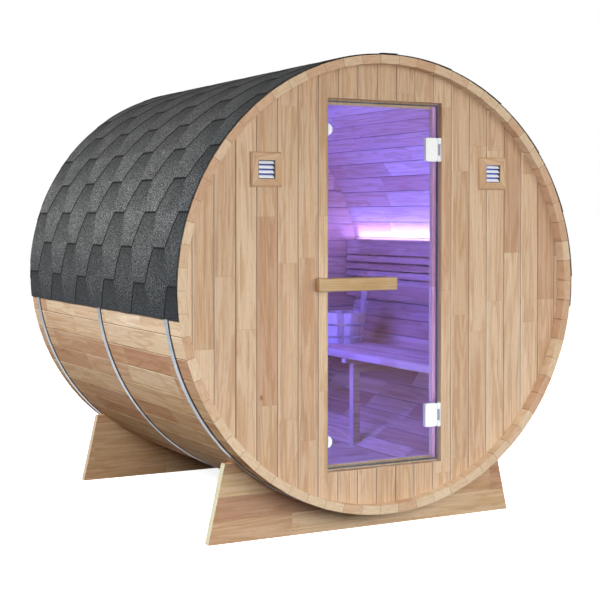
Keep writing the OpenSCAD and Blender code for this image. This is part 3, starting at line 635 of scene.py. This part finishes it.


# bitumen felt shingle: mineral grit in greys, shade under the course above that is partly print and partly
# painted shade, and painted shadow lines
def gritShingle():
    material, tree, skin = newMaterial("mineralFelt")
    place = addNode(tree, "TexCoord")
    laid = addNode(tree, "SeparateXYZ", {0: place.outputs["UV"]}).outputs
    spread = addNode(tree, "SeparateXYZ", {0: place.outputs["Object"]}).outputs
    shoulderAt, headAt = roof["rise"], 2.0 * roof["rise"]
    grit = addNode(tree, "TexNoise", {"Vector": place.outputs["Object"], "Scale": 1 / roof["grit"],
                                      "Detail": 1.0, "Roughness": 0.7}).outputs[0]
    cloud = addNode(tree, "TexNoise", {"Vector": place.outputs["Object"], "Scale": 1 / 0.09, "Detail": 2.0})
    grey = addNode(tree, "ValToRGB", {0: grit},
                   stops=[(0.33, "#181919"), (0.5, "#505150"), (0.67, "#a2a2a1")])
    cloudTint = addNode(tree, "ValToRGB", {0: cloud}, stops=[(0.3, "#e0e0e0"), (0.7, "#ffffff")])
    clouded = addNode(tree, "MixRGB", {0: 1.0, 1: grey, 2: cloudTint}, blend_type="MULTIPLY")
    # shade at the head of each tab, partly print and partly painted shade under the course above; a painted
    # shadow line under the tab above and beside its slanted edge
    inHead = addNode(tree, "Math", {0: laid[1], 1: shoulderAt}, operation="GREATER_THAN")
    deepen = addNode(tree, "MapRange", {"Value": laid[1], "From Min": shoulderAt, "From Max": headAt,
                                        "To Min": roof["shade"][0], "To Max": roof["shade"][1]})
    shade = addNode(tree, "Math", {0: deepen, 1: inHead}, operation="MULTIPLY")
    shaded = addNode(tree, "MixRGB", {0: shade, 1: clouded, 2: linear("#1b1c1d")})
    headShadow = addNode(tree, "MapRange", {"Value": laid[1], "From Min": headAt - 9 * mm,
                                          "From Max": headAt - 6 * mm, "To Min": 0.0,
                                          "To Max": roof["shadowLine"]})
    flank = addNode(tree, "MapRange", {"Value": laid[1], "From Min": shoulderAt, "From Max": headAt,
                                       "To Min": roof["shoulder"], "To Max": roof["toe"]})
    beside = addNode(tree, "Math", {0: flank, 1: laid[0]}, operation="SUBTRACT")
    edgeLine = addNode(tree, "MapRange", {"Value": beside, "From Min": 5 * mm, "From Max": 8 * mm,
                                          "To Min": roof["shadowLine"], "To Max": 0.0})
    onEdge = addNode(tree, "Math", {0: edgeLine, 1: inHead}, operation="MULTIPLY")
    shadowLine = addNode(tree, "Math", {0: headShadow, 1: onEdge}, operation="MAXIMUM")
    shadowLined = addNode(tree, "MixRGB", {0: shadowLine, 1: shaded, 2: linear("#101112")})
    # painted shade: the felt runs darker to the eave and the ridge; it also runs darker and bluer at the
    # front edge
    height = addNode(tree, "MapRange", {"Value": spread[2], "From Min": roof["low"],
                                        "From Max": roof["high"]})
    drop = addNode(tree, "ValToRGB", {0: height},
                   stops=[(0.0, "#9ba2aa"), (0.36, "#ffffff"), (0.72, "#c4c4c4"), (1.0, "#606060")])
    front = addNode(tree, "MapRange", {"Value": spread[1], "From Min": barrel["frontY"],
                                       "From Max": barrel["frontY"] + roof["frontFade"],
                                       "To Min": 0.7, "To Max": 0.0})
    heightShaded = addNode(tree, "MixRGB", {0: 1.0, 1: shadowLined, 2: drop}, blend_type="MULTIPLY")
    fronted = addNode(tree, "MixRGB", {0: front, 1: heightShaded, 2: linear("#a9b2bd")}, blend_type="MULTIPLY")
    bump = addNode(tree, "Bump", {"Height": grit, "Strength": 0.5, "Distance": 1.0 * mm})
    tree.links.new(fronted.outputs[0], skin.inputs["Base Color"])
    tree.links.new(bump.outputs[0], skin.inputs["Normal"])
    skin.inputs["Roughness"].default_value = 0.9
    skin.inputs["Specular IOR Level"].default_value = 0.2
    return material


# grit on top, and the bare black edge where a shingle is cut
felt = [gritShingle(), mottled("cutFelt", 4 * mm, 2.0, (0.3, 0.7), ("#0c0c0d", "#1e1f20"), 0.85)["material"]]


# lays a flat bmesh, with Y up the slope, round the barrel from the given foot angle
def wrapOnto(shape, foot, side):
    for vert in shape.verts:
        along, up, out = vert.co
        turn = foot - up / roof["rise"] * roof["turn"]
        reach = roof["base"] + roof["sheet"] * (2 - up / roof["rise"]) + out
        vert.co = (side * reach * math.cos(turn), along, barrel["axisZ"] + reach * math.sin(turn))


def newVerts(grown):
    return [item for item in grown["geom"] if isinstance(item, bmesh.types.BMVert)]


# gives a flat sheet its thickness and marks its cut edges
def thicken(shape, sheet):
    grown = bmesh.ops.extrude_face_region(shape, geom=list(shape.faces))
    bmesh.ops.translate(shape, verts=newVerts(grown), vec=(0, 0, sheet))
    bmesh.ops.recalc_face_normals(shape, faces=shape.faces)
    for face in shape.faces:
        face.normal_update()
        face.material_index = 1 if abs(face.normal.z) < 0.5 else 0


def shingleCourse(centre, footCut, headCut):
    shape = bmesh.new()
    uvs = shape.loops.layers.uv.new("laid")
    toe, shoulder, rise, half = roof["toe"], roof["shoulder"], roof["rise"], roof["pitch"] / 2
    corners = ((-toe, 0, 0), (toe, 0, 0), (shoulder, rise, 0), (-shoulder, rise, 0))
    tooth = shape.faces.new([shape.verts.new(corner) for corner in corners])
    # the head of the shingle goes on up under the courses above, out to half the pitch
    grown = bmesh.ops.extrude_edge_only(shape, edges=[tooth.edges[2]])
    bmesh.ops.translate(shape, verts=newVerts(grown), vec=(0, rise, 0))
    for sign in (-1, 1):
        flank = [e for e in shape.edges if all(abs(v.co.x - sign * shoulder) < 1e-6 for v in e.verts)]
        for vert in newVerts(bmesh.ops.extrude_edge_only(shape, edges=flank)):
            vert.co.x = sign * half
    for face in shape.faces:
        for loop in face.loops:
            loop[uvs].uv = (loop.vert.co.x, loop.vert.co.y)
    first = math.floor((barrel["frontY"] - centre) / roof["pitch"])
    last = math.ceil((barrel["rearY"] - centre) / roof["pitch"])
    bmesh.ops.spin(shape, geom=everything(shape), cent=(0, 0, 0), axis=(0, 0, 1), angle=0,
                   dvec=(roof["pitch"], 0, 0), steps=last - first, use_duplicate=True)
    bmesh.ops.translate(shape, verts=shape.verts, vec=(centre + first * roof["pitch"], 0, 0))
    bmesh.ops.remove_doubles(shape, verts=shape.verts, dist=0.05 * mm)
    for cut in range(1, 2 * roof["slices"]):
        bmesh.ops.bisect_plane(shape, geom=everything(shape), plane_co=(0, cut * rise / roof["slices"], 0),
                               plane_no=(0, 1, 0))
    trim(shape, (barrel["rearY"], 0, 0), (1, 0, 0))
    trim(shape, (barrel["frontY"], 0, 0), (-1, 0, 0))
    if footCut > 0:
        trim(shape, (0, footCut, 0), (0, -1, 0))
    if headCut < 2 * rise:
        trim(shape, (0, headCut, 0), (0, 1, 0))
    thicken(shape, roof["sheet"])
    return shape


def shingledSide(name, node, side):
    whole = bmesh.new()
    whole.loops.layers.uv.new("laid")
    # the course below the first is its starter: only its head lies above the eave
    for course in range(-1, roof["courses"]):
        foot = roof["firstFoot"] - course * roof["turn"]
        centre = roof["oddCentre"] if course % 2 else roof["evenCentre"]
        footCut = (foot - roof["eave"]) / roof["turn"] * roof["rise"]
        headCut = (foot - math.radians(90)) / roof["turn"] * roof["rise"]
        shape = shingleCourse(centre, footCut, headCut)
        wrapOnto(shape, foot, side)
        addShape(whole, shape)
    bmesh.ops.recalc_face_normals(whole, faces=whole.faces)
    piece = finishPiece(name, whole, "cabin", "shingle", *felt)
    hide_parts(node)


shingledSide("shingles_left", "roof_left", 1)
shingledSide("shingles_right", "roof_right", -1)


# folded caps along the ridge, each lying on the one in front of it
def ridgeCaps():
    whole = bmesh.new()
    whole.loops.layers.uv.new("laid")
    span = barrel["rearY"] - barrel["frontY"]
    for index in range(math.ceil(span / roof["capShow"])):
        shape = bmesh.new()
        shape.loops.layers.uv.new("laid")
        bmesh.ops.create_grid(shape, x_segments=2, y_segments=10, size=0.5)
        bmesh.ops.scale(shape, vec=(roof["capLength"], 2 * roof["capHalf"], 1), verts=shape.verts)
        start = barrel["frontY"] + index * roof["capShow"]
        bmesh.ops.translate(shape, vec=(start + roof["capLength"] / 2, 0, 0), verts=shape.verts)
        trim(shape, (barrel["rearY"], 0, 0), (1, 0, 0))
        thicken(shape, roof["capSheet"])
        for vert in shape.verts:
            along, up, out = vert.co
            slope = min((along - start) / roof["capLength"], 1)
            turn = up / barrel["roofR"]
            ridge = roof["sheet"] * (2 + abs(turn) / roof["turn"])
            reach = roof["base"] + ridge + roof["capSheet"] * (1 - slope) + out
            vert.co = (reach * math.sin(turn), along, barrel["axisZ"] + reach * math.cos(turn))
        addShape(whole, shape)
    bmesh.ops.recalc_face_normals(whole, faces=whole.faces)
    finishPiece("ridge_caps", whole, "cabin", "shingle", *felt)


ridgeCaps()
print("roof shingled")

# bucket: tapered staves in mixed tones, two of them taller as ears
bucketLow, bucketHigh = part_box("bucket")
bucket = {
    "staves": 20, "footR": 95 * mm, "flare": 20 * mm, "rim": 150 * mm, "wall": 12 * mm, "ear": 100 * mm,
    "bottom": 10 * mm, "discFlare": 1.6 * mm, "ease": 1.5 * mm, "gap": 0.15 * mm,
    "x": (bucketLow.x + bucketHigh.x) / 2, "y": (bucketLow.y + bucketHigh.y) / 2, "z": bucketLow.z,
}
bucketWood = timber("aspenBucket", {
    **plain, "layout": "round", "axes": "ZXY", "centre": (bucket["x"], bucket["y"]), "radius": 1.0,
    "pitch": 2 * math.pi / bucket["staves"], "start": -math.pi / bucket["staves"], "seed": 97.0,
    "length": 2.0, "knots": 0.0, "tones": ["#f4ecdf", "#c3a68b", "#f2e9da", "#f6efe4", "#cbb096"],
})


def staveBucket():
    whole = bmesh.new()
    turn = 2 * math.pi / bucket["staves"]
    lean = bucket["flare"] / bucket["rim"]
    for index in range(bucket["staves"]):
        isEar = index % (bucket["staves"] // 2) == 0
        height = bucket["rim"] + (bucket["ear"] if isEar else 0)
        stave = bmesh.new()
        bmesh.ops.create_cube(stave, size=1)
        for vert in stave.verts:
            up = (vert.co.z + 0.5) * height
            reach = bucket["footR"] + lean * up - (0 if vert.co.x > 0 else bucket["wall"])
            vert.co = (reach, 2 * vert.co.y * (reach * math.tan(turn / 2) - bucket["gap"]), up)
        bmesh.ops.bevel(stave, geom=stave.edges[:], offset=bucket["ease"], segments=2, profile=0.5,
                        affect="EDGES", material=-1)
        bmesh.ops.rotate(stave, verts=stave.verts, matrix=Matrix.Rotation(index * turn, 3, "Z"))
        addShape(whole, stave)
    disc = bmesh.new()
    discR = bucket["footR"] - bucket["wall"]
    bmesh.ops.create_cone(disc, cap_ends=True, segments=40, radius1=discR,
                          radius2=discR + bucket["discFlare"], depth=bucket["wall"])
    bmesh.ops.translate(disc, verts=disc.verts, vec=(0, 0, bucket["bottom"] + bucket["wall"] / 2))
    addShape(whole, disc)
    bmesh.ops.translate(whole, verts=whole.verts, vec=(bucket["x"], bucket["y"], bucket["z"]))
    piece = finishPiece("bucket_staves", whole, "cabin", "bucket_wood", bucketWood)
    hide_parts("bucket")


staveBucket()
print("bucket made")

# camera at the photograph's viewing angle
view = {
    "place": (-2.7786, -5.3636, 1.2477), "pitch": 88.6498, "yaw": -28.055, "lens": 80.318, "sensor": 36,
    "drop": 50 / 600,  # keeps the door's uprights nearly plumb, as they are in the photograph
}
cameraData = bpy.data.cameras.new("camera")
cameraData.lens = view["lens"]
cameraData.sensor_width = view["sensor"]
cameraData.shift_y = -view["drop"]
camera = bpy.data.objects.new("camera", cameraData)
camera.location = view["place"]
camera.rotation_euler = (math.radians(view["pitch"]), 0, math.radians(view["yaw"]))
scene.collection.objects.link(camera)
scene.camera = camera
scene.view_settings.view_transform = "Standard"

# plain soft studio: white surroundings that light the object weakly, and a pale floor
studio = {
    "horizon": 0.1, "zenith": 0.25, "tint": "#fff0e0", "white": "#ffffff",
    "floorBounce": "#3a251a", "floorGlow": 0.85, "floorHalf": 30,
}


# 1 where the camera, a mirror or the glass sees the backdrop, 0 where it only sends light
def seenDirectly(tree):
    path = addNode(tree, "LightPath").outputs
    mirrored = addNode(tree, "Math", {0: path["Is Glossy Ray"], 1: path["Is Transmission Ray"]},
                       operation="MAXIMUM")
    return addNode(tree, "Math", {0: path["Is Camera Ray"], 1: mirrored}, operation="MAXIMUM")


def studioWorld():
    world = bpy.data.worlds.new("studio")
    world.use_nodes = True
    scene.world = world
    tree = world.node_tree
    seen = seenDirectly(tree)
    aimed = addNode(tree, "SeparateXYZ", {0: addNode(tree, "TexCoord").outputs["Generated"]})
    soft = addNode(tree, "MapRange", {"Value": aimed.outputs[2], "To Min": studio["horizon"],
                                      "To Max": studio["zenith"]})
    level = addNode(tree, "MapRange", {"Value": seen, "To Min": soft, "To Max": 1.0})
    air = addNode(tree, "MixRGB", {0: seen, 1: linear(studio["tint"]), 2: linear(studio["white"])})
    glow = tree.nodes["Background"]
    tree.links.new(air.outputs[0], glow.inputs["Color"])
    tree.links.new(level.outputs[0], glow.inputs["Strength"])


def softLamp(name, lamp):
    data = bpy.data.lights.new(name, "AREA")
    data.shape = "RECTANGLE"
    data.size, data.size_y = lamp["size"]
    data.energy = lamp["watts"]
    data.color = linear(lamp["colour"])[:3]
    made = bpy.data.objects.new(name, data)
    made.location = lamp["place"]
    aim = Vector(lamp["aim"]) - Vector(lamp["place"])
    made.rotation_euler = aim.to_track_quat("-Z", "Y").to_euler()
    made.visible_camera = made.visible_glossy = made.visible_transmission = False
    scene.collection.objects.link(made)


# matt white paper, which sends little and warm light back up
def studioFloor():
    shape = bmesh.new()
    bmesh.ops.create_grid(shape, x_segments=1, y_segments=1, size=studio["floorHalf"])
    mesh = bpy.data.meshes.new("studio_floor")
    shape.to_mesh(mesh)
    shape.free()
    plane = bpy.data.objects.new("studio_floor", mesh)
    scene.collection.objects.link(plane)
    material, tree, skin = newMaterial("palePaper")
    seen = seenDirectly(tree)
    colour = addNode(tree, "MixRGB", {0: seen, 1: linear(studio["floorBounce"]),
                                      2: linear(studio["white"])})
    share = addNode(tree, "Math", {0: seen, 1: studio["floorGlow"]}, operation="MULTIPLY")
    tree.links.new(colour.outputs[0], skin.inputs["Base Color"])
    tree.links.new(share.outputs[0], skin.inputs["Emission Strength"])
    skin.inputs["Emission Color"].default_value = linear(studio["white"])
    skin.inputs["Roughness"].default_value = 1.0
    skin.inputs["Specular IOR Level"].default_value = 0.0
    mesh.materials.append(material)


# a broad key from the left, fills in front and a lamp behind; in the room, violet light by the strip, on
# the walls and the bench, and on the stop behind the pane at the hinges
paneLow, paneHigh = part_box("door_glass")
jamb = Vector((paneHigh.x - 7 * mm, paneHigh.y + 2 * mm, (paneLow.z + paneHigh.z) / 2))
lamps = {
    "key": {"place": (-6.2, -0.6, 4.8), "aim": (0, 0, 0.9), "size": (3.0, 3.0), "watts": 600,
            "colour": "#f8fcff"},
    "fillRight": {"place": (3.0, -5.6, 2.4), "aim": (0, 0, 1.1), "size": (3.0, 2.4), "watts": 112,
                  "colour": "#ffffff"},
    "fillLeft": {"place": (-2.0, -6.2, 2.4), "aim": (0, 0, 1.0), "size": (3.0, 2.4), "watts": 74,
                 "colour": "#fffcf6"},
    "lowFill": {"place": (-0.2, -3.0, 0.75), "aim": (0, -1.2, 0.0), "size": (2.6, 0.5), "watts": 44,
                "colour": "#e2f2ff"},
    "back": {"place": (3.6, 5.2, 2.4), "aim": (0, 0, 0.9), "size": (3.0, 3.0), "watts": 360,
             "colour": "#ffffff"},
    "stripGlow": {"place": (0.812, 0.0, 1.146), "aim": (0.862, 0.0, 1.19), "size": (1.55, 0.02),
                  "watts": 1.3, "colour": "#c4b8ff"},
    "roomGlow": {"place": (-0.45, -0.2, 1.35), "aim": (0.45, 0.3, 0.6), "size": (0.9, 0.3), "watts": 18,
                 "colour": "#4e51ff"},
    "rearGlow": {"place": (0.74, 0.66, 1.14), "aim": (0.7, 0.82, 1.14), "size": (0.2, 0.1), "watts": 0.25,
                 "colour": "#5a58ff"},
    "jambGlow": {"place": jamb, "aim": jamb + Vector((0, 1, 0)), "watts": 0.17, "colour": "#711aff",
                 "size": (16 * mm, paneHigh.z - paneLow.z)},
    "benchGlow": {"place": (-0.62, -0.1, 0.85), "aim": (0.6, 0.0, 0.6), "size": (1.0, 0.3), "watts": 26,
                  "colour": "#4e52e8"},
}
studioWorld()
for name, lamp in lamps.items():
    softLamp(name, lamp)
studioFloor()
print("studio set")
